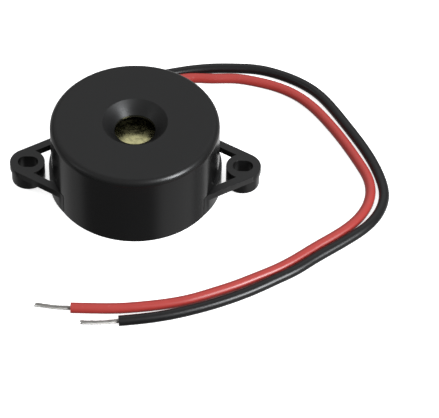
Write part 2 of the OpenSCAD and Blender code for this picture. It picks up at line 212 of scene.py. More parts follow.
class Value:
    """An output socket that works in sums, as a number would."""

    def __init__(self, tree, socket):
        self.tree, self.socket = tree, socket

    def out(self, name):
        """Another output of the same node."""
        return Value(self.tree, self.socket.node.outputs[name])

    def calc(self, operation, *terms):
        """A Math node on these terms, which are numbers or Values."""
        node = self.tree.nodes.new("ShaderNodeMath")
        node.operation = operation
        for port, term in zip(node.inputs, terms):
            if isinstance(term, Value):
                self.tree.links.new(term.socket, port)
            else:
                port.default_value = term
        return Value(self.tree, node.outputs[0])

    def __add__(self, other):
        return self.calc("ADD", self, other)

    def __radd__(self, other):
        return self.calc("ADD", other, self)

    def __sub__(self, other):
        return self.calc("SUBTRACT", self, other)

    def __rsub__(self, other):
        return self.calc("SUBTRACT", other, self)

    def __mul__(self, other):
        return self.calc("MULTIPLY", self, other)

    def __rmul__(self, other):
        return self.calc("MULTIPLY", other, self)

    def __truediv__(self, other):
        return self.calc("DIVIDE", self, other)

    def __neg__(self):
        return self.calc("MULTIPLY", self, -1.0)

    def least(self, other):
        return self.calc("MINIMUM", self, other)

    def sine(self):
        return self.calc("SINE", self)

    def cosine(self):
        return self.calc("COSINE", self)

    def root(self):
        return self.calc("SQRT", self)

    def part(self, low, high):
        """0 at low and below, 1 at high and above, and a smooth step between them."""
        node = self.tree.nodes.new("ShaderNodeMapRange")
        node.interpolation_type = "SMOOTHSTEP"
        self.tree.links.new(self.socket, node.inputs["Value"])
        node.inputs["From Min"].default_value = low
        node.inputs["From Max"].default_value = high
        return Value(self.tree, node.outputs["Result"])


class Tree:
    """Adds nodes to a node tree."""

    def __init__(self, tree):
        self.tree = tree

    def add(self, kind, settings=None, values=None, output=0):
        """A node of that kind. Settings are set first, then the values or links of its sockets."""
        node = self.tree.nodes.new(kind)
        for key, value in (settings or {}).items():
            setattr(node, key, value)
        for key, value in (values or {}).items():
            if isinstance(value, Value):
                self.tree.links.new(value.socket, node.inputs[key])
            else:
                node.inputs[key].default_value = value
        return Value(self.tree, node.outputs[output]) if node.outputs else node

    def mix(self, factor, first, second):
        """A colour between two colours."""
        ends = [(*c, 1.0) if isinstance(c, (tuple, list)) and len(c) == 3 else c for c in (first, second)]
        return self.add(
            "ShaderNodeMix", {"data_type": "RGBA"}, {0: factor, 6: ends[0], 7: ends[1]}, output=2
        )


class Finish(Tree):
    """A material under construction. Its patterns are measured in millimetres on the object."""

    def __init__(self, name):
        self.material = bpy.data.materials.new(name)
        self.material.use_nodes = True
        super().__init__(self.material.node_tree)
        self.tree.nodes.clear()
        self.surface = self.tree.nodes.new("ShaderNodeBsdfPrincipled")
        output = self.tree.nodes.new("ShaderNodeOutputMaterial")
        self.tree.links.new(self.surface.outputs[0], output.inputs["Surface"])
        self.place = self.add(
            "ShaderNodeVectorMath",
            {"operation": "SCALE"},
            {0: self.add("ShaderNodeTexCoord").out("Object"), "Scale": 1 / MM},
        )

    def axes(self):
        """The place's x, y and z."""
        split = self.add("ShaderNodeSeparateXYZ", values={0: self.place})
        return split.out("X"), split.out("Y"), split.out("Z")

    def noise(self, size, detail=2.0, stretch=None, rough=0.5, place=None):
        """Noise with features of that size in millimetres, from 0 to 1."""
        spot = place or self.place
        if stretch:
            spot = self.add("ShaderNodeMapping", values={"Vector": spot, "Scale": stretch})
        return self.add(
            "ShaderNodeTexNoise",
            values={"Vector": spot, "Scale": 1 / size, "Detail": detail, "Roughness": rough},
        )

    def cells(self, size):
        """Distance to the nearest of scattered points, size millimetres apart."""
        return self.add("ShaderNodeTexVoronoi", {"feature": "F1"}, {"Vector": self.place, "Scale": 1 / size})

    def bump(self, height, depth):
        """A Bump node for a height of 0 to 1 that stands depth millimetres proud."""
        return self.add(
            "ShaderNodeBump", values={"Height": height, "Distance": depth * MM, "Strength": 1.0}
        )

    def fixed(self, **values):
        """Values that are the same all over the surface."""
        for name, value in values.items():
            self.surface.inputs[name.replace("_", " ")].default_value = value

    def varying(self, **links):
        """Values that change over the surface."""
        for name, value in links.items():
            self.tree.links.new(value.socket, self.surface.inputs[name.replace("_", " ")])


def scaled(colour, factor):
    """A colour made lighter or darker."""
    return tuple(min(1.0, c * factor) for c in colour)


def moulded_plastic(name, colour, top_height=None):
    """Black moulded plastic: a spark-eroded top face, and smoother walls with fine flow marks."""
    f = Finish(name)
    x, y, z = f.axes()
    grain = f.noise(0.16, 3, rough=0.6)
    fine = f.noise(0.06, 2)
    cloud = f.noise(3.5, 3)
    drift = f.noise(1.1, 2, stretch=(1, 1, 0.25))
    streaks = f.noise(0.35, 4, stretch=(1, 0.03, 0.4), rough=0.75).part(0.6, 0.72)
    specks = 1 - f.cells(0.9).out("Distance").part(0.03, 0.06)
    relief, depth = grain + 0.35 * fine, 0.012
    if top_height is None:
        face = 0.35 + 0.15 * cloud
        relief = relief * face + 0.2 * drift * (1 - face)
        rough = 0.14 + 0.36 * face
    else:
        # The top face is matt, its rounded rim less so, and the countersink shows the mould's turning marks
        face = z.part(top_height - 0.08, top_height - 0.01)
        reach = (x * x + y * y).root()
        sink = 1 - reach.part(4.6, 4.9)
        rim = z.part(top_height - 1.1, top_height - 0.1)
        polar = f.add("ShaderNodeCombineXYZ", values={"X": reach, "Y": z, "Z": cloud * 0.2})
        turning = f.noise(0.14, 2, place=polar)
        relief = relief * (0.12 + 0.88 * face) + 0.2 * drift * (1 - face) + 0.8 * turning * sink * (1 - face)
        rough = 0.16 + 0.34 * face + (0.12 * rim + 0.16 * sink) * (1 - face)
    tone = f.mix(0.5 * cloud + 0.35 * grain, scaled(colour, 0.8), scaled(colour, 1.35))
    dusty = f.mix((0.12 * streaks * cloud + 0.15 * specks).least(1.0), tone, scaled(colour, 4.0))
    f.varying(
        Base_Color=dusty,
        Roughness=rough + 0.05 * cloud + 0.05 * grain + 0.05 * streaks,
        Normal=f.bump(relief, depth),
    )
    f.fixed(IOR=1.5)
    return f.material


def rolled_metal(name, colour, size, rough, depth):
    """Rolled sheet: fine parallel lines, and a bright surface under dull, tarnished mottling."""
    f = Finish(name)
    lines = f.noise(size, 4, stretch=(1, 0.05, 1), rough=0.7)
    stain = f.noise(2.2, 3)
    mottle = f.noise(0.8, 4, rough=0.6).part(0.35, 0.7)
    pits = f.noise(size * 2, 2)
    sheet = f.mix(0.55 * stain + 0.35 * lines, scaled(colour, 0.72), scaled(colour, 1.12))
    f.varying(
        Base_Color=f.mix(0.45 * mottle, sheet, scaled(colour, 0.4)),
        Roughness=rough + 0.06 * stain + 0.05 * lines + 0.2 * mottle,
        Normal=f.bump(0.7 * lines + 0.3 * pits, depth),
    )
    f.fixed(Metallic=1.0)
    return f.material


def fired_surface(name, colour, size, rough, depth, metallic=0.0):
    """A fired or cured surface: grains of that size, clouded colour."""
    f = Finish(name)
    grains = f.noise(size, 3, rough=0.65)
    cloud = f.noise(size * 14, 3)
    specks = 1 - f.cells(size * 9).out("Distance").part(0.05, 0.12)
    tone = f.mix(0.5 * grains + 0.4 * cloud, scaled(colour, 0.82), scaled(colour, 1.12))
    f.varying(
        Base_Color=f.mix(0.35 * specks, tone, scaled(colour, 0.6)),
        Roughness=rough + 0.12 * grains + 0.1 * cloud,
        Normal=f.bump(grains, depth),
    )
    f.fixed(Metallic=metallic)
    return f.material


def laminate(name, colour):
    """Paper laminate: crossed fibres and clouded colour."""
    f = Finish(name)
    warp = f.noise(0.35, 3, stretch=(1, 0.12, 1))
    weft = f.noise(0.35, 3, stretch=(0.12, 1, 1))
    cloud = f.noise(4, 3)
    fibre = 0.5 * warp + 0.5 * weft
    f.varying(
        Base_Color=f.mix(0.6 * fibre + 0.3 * cloud, scaled(colour, 0.7), scaled(colour, 1.3)),
        Roughness=0.42 + 0.25 * fibre,
        Normal=f.bump(fibre, 0.012),
    )
    return f.material


def reflowed(name, colour):
    """Solder: bright and slightly wrinkled, duller where flux has dried."""
    f = Finish(name)
    wrinkle = f.noise(0.22, 4, rough=0.6)
    flux = f.noise(0.9, 2).part(0.45, 0.7)
    f.varying(
        Base_Color=f.mix(0.5 * flux + 0.2 * wrinkle, colour, scaled(colour, 0.6)),
        Roughness=0.16 + 0.25 * flux + 0.1 * wrinkle,
        Normal=f.bump(wrinkle, 0.02),
    )
    f.fixed(Metallic=1.0)
    return f.material


def vinyl(name, colour, lift):
    """Extruded vinyl: faint lines along the lead, scuffs, and a satin skin."""
    f = Finish(name)
    along = f.add("ShaderNodeAttribute", {"attribute_name": "along"}).out("Fac")
    around = f.add("ShaderNodeAttribute", {"attribute_name": "around"}).out("Fac")
    turn = 2 * math.pi * around
    skin = f.add(
        "ShaderNodeCombineXYZ", values={"X": turn.cosine(), "Y": turn.sine(), "Z": along / MM * 0.03}
    )
    lines = f.noise(0.16, 3, place=skin)
    wave = f.noise(2.6, 2)
    scuff = f.noise(0.5, 4, rough=0.7).part(0.6, 0.78)
    grain = f.noise(0.09, 2)
    tone = f.mix(0.5 * wave + 0.3 * lines, scaled(colour, 0.86), scaled(colour, 1.12))
    pale = tuple(min(1.0, c + lift) for c in colour)
    f.varying(
        Base_Color=f.mix(0.16 * scuff, tone, pale),
        Roughness=0.26 + 0.08 * wave + 0.2 * scuff + 0.06 * lines,
        Normal=f.bump(0.55 * lines + 0.25 * grain + 0.5 * wave, 0.012),
    )
    f.fixed(IOR=1.53)
    return f.material


def tinned(name, colour):
    """Tinned strands: drawn lines, dull and bright patches."""
    f = Finish(name)
    patch = f.noise(0.5, 3)
    drawn = f.noise(0.07, 3, stretch=(0.25, 1, 1))
    f.varying(
        Base_Color=f.mix(0.6 * patch + 0.3 * drawn, scaled(colour, 0.62), scaled(colour, 1.2)),
        Roughness=0.26 + 0.2 * patch + 0.12 * drawn,
        Normal=f.bump(drawn, 0.006),
    )
    f.fixed(Metallic=1.0)
    return f.material


MATERIALS = {}


def material(name):
    """One of the finishes, made on first use."""
    if name not in MATERIALS:
        c = bpy.context.scene.buzzer_finishes
        makers = {
            "cap_plastic": lambda n: moulded_plastic(n, c.plastic, CAP_HIGH[2]),
            "base_plastic": lambda n: moulded_plastic(n, c.plastic),
            "brass": lambda n: rolled_metal(n, c.brass, 0.12, 0.13, 0.003),
            "ceramic": lambda n: fired_surface(n, (0.78, 0.74, 0.62), 0.08, 0.5, 0.006),
            "silver": lambda n: fired_surface(n, (0.8, 0.8, 0.78), 0.06, 0.32, 0.004, metallic=1.0),
            "silicone": lambda n: fired_surface(n, (0.74, 0.74, 0.7), 0.3, 0.3, 0.02),
            "laminate": lambda n: laminate(n, (0.3, 0.16, 0.05)),
            "moulding": lambda n: fired_surface(n, (0.02, 0.02, 0.02), 0.05, 0.5, 0.006),
            "resistor_body": lambda n: fired_surface(n, (0.015, 0.016, 0.02), 0.1, 0.2, 0.003),
            "tinned_lead": lambda n: tinned(n, (0.7, 0.7, 0.68)),
            "solder": lambda n: reflowed(n, (0.72, 0.72, 0.72)),
            "tinned_copper": lambda n: tinned(n, c.tin),
            "red_insulation": lambda n: vinyl(n, c.red, 0.2),
            "black_insulation": lambda n: vinyl(n, c.black, 0.1),
            "blue_insulation": lambda n: vinyl(n, c.blue, 0.12),
        }
        MATERIALS[name] = makers[name](name)
    return MATERIALS[name]


# Making meshes


def new_object(name, mesh):
    """An object at the origin that holds this mesh."""
    obj = bpy.data.objects.new(name, mesh)
    bpy.context.scene.collection.objects.link(obj)
    return obj


def line_mesh(name, points, closed=False, widths=None):
    """A chain of edges through points in millimetres, with a width factor at each."""
    count = len(points)
    edges = [(i, i + 1) for i in range(count - 1)] + ([(count - 1, 0)] if closed else [])
    mesh = bpy.data.meshes.new(name)
    mesh.from_pydata([tuple(c * MM for c in p) for p in points], edges, [])
    field = mesh.attributes.new("width", "FLOAT", "POINT")
    field.data.foreach_set("value", [1.0] * count if widths is None else list(widths))
    return mesh


def bake(obj):
    """Puts the result of the object's modifiers into its mesh, and removes them."""
    graph = bpy.context.evaluated_depsgraph_get()
    mesh = bpy.data.meshes.new_from_object(obj.evaluated_get(graph))
    obj.modifiers.clear()
    obj.data = mesh
    mesh.name = obj.name
    return obj


def close_up(obj, distance=MERGE_DISTANCE):
    """Merges doubles and turns every face outwards."""
    work = bmesh.new()
    work.from_mesh(obj.data)
    bmesh.ops.remove_doubles(work, verts=work.verts, dist=distance * MM)
    bmesh.ops.recalc_face_normals(work, faces=work.faces)
    work.to_mesh(obj.data)
    work.free()
    return obj


def smooth(obj, angle):
    """Smooth shading, sharp at edges over that angle in degrees."""
    obj.data.shade_smooth()
    obj.data.set_sharp_from_angle(angle=math.radians(angle))


def paint(obj, finish):
    """Gives an object one finish all over."""
    obj.data.materials.clear()
    obj.data.materials.append(material(finish))


def mount(obj, finish, *nodes):
    """Puts a finished piece on the body, in place of these frame nodes."""
    paint(obj, finish)
    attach(obj, BODY)
    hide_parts(*nodes)


def geometry_tree(name, inputs):
    """A geometry tree with a Geometry input and output, and these named inputs."""
    group = bpy.data.node_groups.new(name, "GeometryNodeTree")
    group.interface.new_socket("Geometry", in_out="INPUT", socket_type="NodeSocketGeometry")
    for label, kind, value in inputs:
        socket = group.interface.new_socket(label, in_out="INPUT", socket_type=kind)
        if value is not None:
            socket.default_value = value
    group.interface.new_socket("Geometry", in_out="OUTPUT", socket_type="NodeSocketGeometry")
    tree = Tree(group)
    source = tree.add("NodeGroupInput")
    return group, tree, source


def tree_output(group, tree, geometry, source):
    """Ends a geometry tree in Realize Instances and Set Material."""
    real = tree.add("GeometryNodeRealizeInstances", values={"Geometry": geometry})
    painted = tree.add(
        "GeometryNodeSetMaterial", values={"Geometry": real, "Material": source.out("Material")}
    )
    end = group.nodes.new("NodeGroupOutput")
    group.links.new(painted.socket, end.inputs["Geometry"])


def run_tree(obj, group, **values):
    """Runs a geometry tree on an object, and bakes the result."""
    modifier = obj.modifiers.new(group.name, "NODES")
    modifier.node_group = group
    names = {s.name: s.identifier for s in group.interface.items_tree if s.in_out == "INPUT"}
    for label, value in values.items():
        modifier[names[label.replace("_", " ")]] = value
    return bake(obj)


FLOAT, COUNT, FINISH = "NodeSocketFloat", "NodeSocketInt", "NodeSocketMaterial"


def swept_tree():
    """A round bar along the object's line of edges. It keeps the place along and around it."""
    group, tree, source = geometry_tree(
        "Swept wire", [("Radius", FLOAT, 0.0007), ("Sides", COUNT, 24), ("Material", FINISH, None)]
    )
    line = tree.add("GeometryNodeMeshToCurve", values={"Mesh": source.out("Geometry")})
    width = tree.add(
        "GeometryNodeInputNamedAttribute", {"data_type": "FLOAT"}, {"Name": "width"}
    )
    line = tree.add("GeometryNodeSetCurveRadius", values={"Curve": line, "Radius": width})
    line = tree.add(
        "GeometryNodeStoreNamedAttribute",
        {"data_type": "FLOAT", "domain": "POINT"},
        {"Geometry": line, "Name": "along", "Value": tree.add("GeometryNodeSplineParameter").out("Length")},
    )
    ring = tree.add(
        "GeometryNodeCurvePrimitiveCircle",
        values={"Radius": source.out("Radius"), "Resolution": source.out("Sides")},
    )
    ring = tree.add(
        "GeometryNodeStoreNamedAttribute",
        {"data_type": "FLOAT", "domain": "POINT"},
        {"Geometry": ring, "Name": "around", "Value": tree.add("GeometryNodeSplineParameter").out("Factor")},
    )
    skin = tree.add(
        "GeometryNodeCurveToMesh", values={"Curve": line, "Profile Curve": ring, "Fill Caps": True}
    )
    tree_output(group, tree, skin, source)
    return group


def strand_tree():
    """Strands twisted along the object's line of edges, around one straight strand."""
    group, tree, source = geometry_tree(
        "Twisted strands",
        [
            ("Strands", COUNT, 6),
            ("Strand radius", FLOAT, 0.00008),
            ("Ring radius", FLOAT, 0.00016),
            ("Lay length", FLOAT, 0.004),
            ("Sides", COUNT, 10),
            ("Seed", COUNT, 3),
            ("Material", FINISH, None),
        ],
    )
    line = tree.add("GeometryNodeMeshToCurve", values={"Mesh": source.out("Geometry")})
    copies = tree.add(
        "GeometryNodeDuplicateElements",
        {"domain": "SPLINE"},
        {"Geometry": line, "Amount": source.out("Strands")},
    )
    length = tree.add("GeometryNodeSplineParameter").out("Length")
    share = copies.out("Duplicate Index") / source.out("Strands") + length / source.out("Lay length")
    angle = share * (2 * math.pi)
    loose = tree.add(
        "FunctionNodeRandomValue",
        {"data_type": "FLOAT"},
        {2: 0.92, 3: 1.12, "ID": copies.out("Duplicate Index"), "Seed": source.out("Seed")},
        output=1,
    )
    normal = tree.add("GeometryNodeInputNormal")
    side = tree.add(
        "ShaderNodeVectorMath",
        {"operation": "CROSS_PRODUCT"},
        {0: tree.add("GeometryNodeInputTangent"), 1: normal},
    )
    reach = source.out("Ring radius") * loose
    across = tree.add(
        "ShaderNodeVectorMath", {"operation": "SCALE"}, {0: normal, "Scale": angle.cosine() * reach}
    )
    up = tree.add("ShaderNodeVectorMath", {"operation": "SCALE"}, {0: side, "Scale": angle.sine() * reach})
    offset = tree.add("ShaderNodeVectorMath", {"operation": "ADD"}, {0: across, 1: up})
    outer = tree.add("GeometryNodeSetPosition", values={"Geometry": copies, "Offset": offset})
    both = tree.add("GeometryNodeJoinGeometry", values={"Geometry": outer})
    group.links.new(line.socket, both.socket.node.inputs["Geometry"])
    cut = tree.add(
        "FunctionNodeRandomValue",
        {"data_type": "FLOAT"},
        {2: 0.93, 3: 1.0, "Seed": source.out("Seed")},
        output=1,
    )
    both = tree.add("GeometryNodeTrimCurve", {"mode": "FACTOR"}, {"Curve": both, "End": cut})
    ring = tree.add(
        "GeometryNodeCurvePrimitiveCircle",
        values={"Radius": source.out("Strand radius"), "Resolution": source.out("Sides")},
    )
    skin = tree.add(
        "GeometryNodeCurveToMesh", values={"Curve": both, "Profile Curve": ring, "Fill Caps": True}
    )
    tree_output(group, tree, skin, source)
    return group


def turned_tree():
    """Turns the object's closed profile, drawn as radius and height, around the Z axis."""
    group, tree, source = geometry_tree(
        "Turned piece", [("Core radius", FLOAT, 0.001), ("Segments", COUNT, 192), ("Material", FINISH, None)]
    )
    moved = tree.add(
        "ShaderNodeCombineXYZ", values={"X": -source.out("Core radius"), "Y": 0.0, "Z": 0.0}
    )
    profile = tree.add(
        "GeometryNodeSetPosition", values={"Geometry": source.out("Geometry"), "Offset": moved}
    )
    profile = tree.add("GeometryNodeMeshToCurve", values={"Mesh": profile})
    circle = tree.add(
        "GeometryNodeCurvePrimitiveCircle",
        values={"Radius": source.out("Core radius"), "Resolution": source.out("Segments")},
    )
    circle = tree.add("GeometryNodeSetCurveNormal", {"mode": "Z_UP"}, {"Curve": circle})
    skin = tree.add("GeometryNodeCurveToMesh", values={"Curve": circle, "Profile Curve": profile})
    tree_output(group, tree, skin, source)
    return group


def rounded(corners, steps=5, hold=0.05):
    """A closed outline through corners (x, y, radius), each rounded, with holding points beside each arc."""
    points = []
    count = len(corners)
    for i, (x, y, radius) in enumerate(corners):
        here = np.array([x, y])
        back = np.array(corners[i - 1][:2]) - here
        ahead = np.array(corners[(i + 1) % count][:2]) - here
        back_len, ahead_len = np.linalg.norm(back), np.linalg.norm(ahead)
        back, ahead = back / back_len, ahead / ahead_len
        half = math.acos(max(-1.0, min(1.0, float(back @ ahead)))) / 2
        if radius <= 0 or abs(half - math.pi / 2) < 1e-6:
            points.append(here)
            continue
        run = min(radius / math.tan(half), 0.45 * back_len, 0.45 * ahead_len)
        radius = run * math.tan(half)
        inward = (back + ahead) / np.linalg.norm(back + ahead)
        centre = here + inward * radius / math.sin(half)
        first, last = here + back * run, here + ahead * run
        if hold and back_len > run + 2 * hold:
            points.append(first + back * hold)
        a = math.atan2(*(first - centre)[::-1])
        turn = math.atan2(*(last - centre)[::-1]) - a
        turn = (turn + math.pi) % (2 * math.pi) - math.pi
        for k in range(steps + 1):
            t = a + turn * k / steps
            points.append(centre + radius * np.array([math.cos(t), math.sin(t)]))
        if hold and ahead_len > run + 2 * hold:
            points.append(last + ahead * hold)
    return [tuple(float(c) for c in p) for p in points]


def cut_away(obj, *cutters):
    """Cuts closed shapes out of an object."""
    for cutter in cutters:
        boolean = obj.modifiers.new("Cut", "BOOLEAN")
        boolean.operation = "DIFFERENCE"
        boolean.solver = "EXACT"
        boolean.object = cutter
    bake(obj)
    for cutter in cutters:
        bpy.data.objects.remove(cutter)


def slab(name, outline, low, high):
    """A flat shape, drawn in millimetres, from one height to another."""
    count = len(outline)
    points = [(x, y, z) for z in (low, high) for x, y in outline]
    faces = [list(range(count))[::-1], list(range(count, 2 * count))]
    faces += [(i, (i + 1) % count, count + (i + 1) % count, count + i) for i in range(count)]
    mesh = bpy.data.meshes.new(name)
    mesh.from_pydata([tuple(c * MM for c in p) for p in points], [], faces)
    obj = new_object(name, mesh)
    return close_up(obj)


# Leads

# Each point gives x, the distance behind the body, and the height as a share of the drop from the outlet.
RED_PATH = [
    (1, -3, 1), (1, 0, 1), (1, 2, 0.9), (1.9, 5, 0.5), (4.2, 7.5, 0.15), (7.2, 8.7, 0), (10.6, 8.7, 0),
    (13.9, 8.8, 0), (17.2, 8.2, 0), (20.4, 7.1, 0), (23.2, 5.4, 0), (25.5, 3.1, 0), (27.5, 0.3, 0),
    (29.2, -2.5, 0), (30.8, -5.5, 0), (32.2, -8.4, 0), (33.4, -11.5, 0), (33.6, -14.9, 0),
    (32.6, -18, 0), (30.7, -20.7, 0), (28.2, -23, 0), (25.7, -25, 0), (23.1, -27.2, 0), (20.4, -29.2, 0),
    (17.5, -30.9, 0), (14.6, -32.5, 0), (11.6, -33.9, 0), (8.5, -35.2, 0), (5.3, -36.1, 0),
    (2, -36.7, 0), (-1.3, -37.1, 0), (-4.7, -37.2, 0), (-8, -37.2, 0),
]
BLACK_PATH = [
    (-1, -3, 1), (-1, 0, 1), (-1, 2.5, 0.9), (-0.4, 5.1, 0.6), (1.4, 7.9, 0.3), (4.3, 9.5, 0.05),
    (7.5, 10.4, 0), (10.8, 10.9, 0), (14.1, 11, 0), (17.4, 10.8, 0), (20.6, 9.8, 0), (23.6, 8.2, 0),
    (26.1, 6.1, 0), (28.1, 3.4, 0), (29.8, 0.5, 0), (31.4, -2.4, 0), (32.9, -5.3, 0), (34.2, -8.3, 0),
    (35.2, -11.5, 0), (35.6, -14.8, 0), (34.8, -18, 0), (33, -20.8, 0), (30.7, -23, 0), (28, -25.2, 0),
    (25.5, -27.2, 0), (22.9, -29.4, 0), (20.2, -31.2, 0), (17.4, -33, 0), (14.5, -34.6, 0),
    (11.5, -36, 0), (8.4, -37.2, 0), (5.2, -38.2, 0), (2, -38.9, 0), (-1.3, -39.4, 0),
]
RED_TIP_PATH = [(-8, -37.2, 0), (-9.5, -37.2, 0), (-11.2, -37, 0), (-13, -36.7, 0)]
BLACK_TIP_PATH = [(-1.3, -39.4, 0), (-3.2, -39.7, 0), (-4.8, -39.8, 0), (-6.6, -39.8, 0)]


def placed(path):
    """A path's points in millimetres, behind the body."""
    lead, housing = bpy.context.scene.buzzer_leads, bpy.context.scene.buzzer_housing
    floor = lead.lead_diameter / 2
    drop = lead.outlet_height - floor
    return np.array([[x, housing.body_radius + y, floor + share * drop] for x, y, share in path])


def smooth_line(points, step):
    """Points a step apart on the natural cubic spline through these points."""
    spans = np.linalg.norm(np.diff(points, axis=0), axis=1)
    knots = np.concatenate([[0.0], np.cumsum(spans)])
    count = len(points)
    matrix, right = np.eye(count), np.zeros((count, 3))
    for i in range(1, count - 1):
        matrix[i, i - 1 : i + 2] = spans[i - 1], 2 * (spans[i - 1] + spans[i]), spans[i]
        right[i] = 6 * (
            (points[i + 1] - points[i]) / spans[i] - (points[i] - points[i - 1]) / spans[i - 1]
        )
    bend = np.linalg.solve(matrix, right)
    line = []
    for t in np.linspace(0, knots[-1], int(round(knots[-1] / step)) + 1):
        i = int(min(max(np.searchsorted(knots, t) - 1, 0), count - 2))
        h, a, b = spans[i], knots[i + 1] - t, t - knots[i]
        line.append(
            (bend[i] * a**3 + bend[i + 1] * b**3) / (6 * h)
            + (points[i] / h - bend[i] * h / 6) * a
            + (points[i + 1] / h - bend[i + 1] * h / 6) * b
        )
    return np.array(line)


def rounded_ends(points, radius, edge):
    """Width factor along a bar whose ends have a rounded edge."""
    reach = np.concatenate([[0.0], np.cumsum(np.linalg.norm(np.diff(points, axis=0), axis=1))])
    end = np.minimum(reach, reach[-1] - reach)
    inset = 1 - np.clip(end / edge, 0, 1)
    return 1 - (1 - np.sqrt(np.maximum(0.0, 1 - inset**2))) * edge / radius


def dense_ends(points, edge, steps=4):
    """The line with extra points near each end, for the rounded edge."""
    start, stop = points[0], points[-1]
    crowded = np.linspace(0, 1, steps + 1) ** 1.5
    first = start + np.outer(crowded, unit(points[1] - start)) * edge
    last = stop + np.outer(crowded[::-1], unit(points[-2] - stop)) * edge
    middle = [p for p in points[1:-1] if min(np.linalg.norm(p - start), np.linalg.norm(p - stop)) > edge]
    return np.array([*first, *middle, *last])


def unit(vector):
    """The vector made one long."""
    return vector / np.linalg.norm(vector)


def make_lead(name, tip_name, path, tip_path, finish, seed):
    """One insulated lead and its stripped end."""
    sizes, housing = bpy.context.scene.buzzer_leads, bpy.context.scene.buzzer_housing
    radius = sizes.lead_diameter / 2
    line = dense_ends(smooth_line(placed(path), LEAD_STEP), sizes.end_rounding)
    widths = rounded_ends(line, radius, sizes.end_rounding)
    lead = new_object(name + "_insulation", line_mesh(name, line, widths=widths))
    run_tree(lead, TREES["swept"], Radius=radius * MM, Sides=LEAD_SIDES, Material=material(finish))
    smooth(close_up(lead), 50)
    mount(lead, finish, name)

    # Three strands lie side by side across the conductor
    strand = sizes.core_diameter / 3 / 2
    tip_line = smooth_line(placed(tip_path), TIP_STEP)
    tip = new_object(tip_name + "_strands", line_mesh(tip_name, tip_line))
    run_tree(
        tip,
        TREES["strands"],
        Strands=sizes.strands,
        Strand_radius=strand * MM,
        Ring_radius=2 * strand * MM,
        Lay_length=sizes.lay_length * MM,
        Sides=STRAND_SIDES,
        Seed=seed,
        Material=material("tinned_copper"),
    )
    smooth(close_up(tip, STRAND_MERGE_DISTANCE), 60)
    mount(tip, "tinned_copper", tip_name)

    side = 1 if path[0][0] > 0 else -1
    side * sizes.pitch / 2 * MM


TREES = {}


# Operators


